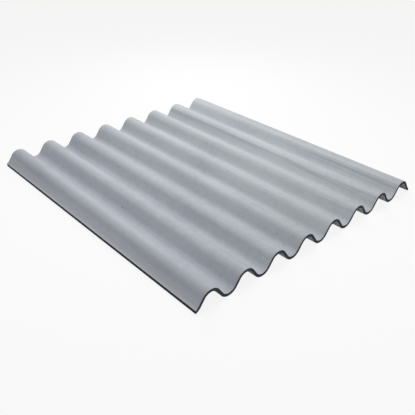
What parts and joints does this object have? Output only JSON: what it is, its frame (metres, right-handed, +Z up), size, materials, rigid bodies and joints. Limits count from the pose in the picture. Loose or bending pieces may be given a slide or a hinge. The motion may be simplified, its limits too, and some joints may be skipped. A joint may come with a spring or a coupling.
{
  "type": "corrugated fiber cement sheet",
  "caption": "Stiff flat-lying sheet moulded into parallel round waves with square-cut ends, laid on purlins as roofing or wall cladding.",
  "frame": {"origin": "middle of the sheet, on the plane that its valleys lie on", "axes": "+X across the waves, +Y along the waves, from the eaves end to the ridge end, +Z up, out of the crests"},
  "size_m": [1.142, 1.25, 0.064],
  "materials": {
    "fiber_cement": "matt pale blue-grey cement with a fine fibrous mottle and darker sawn edges"
  },
  "bodies": {
    "root": {"corrugated_sheet": "fiber_cement"}
  },
  "joints": []
}
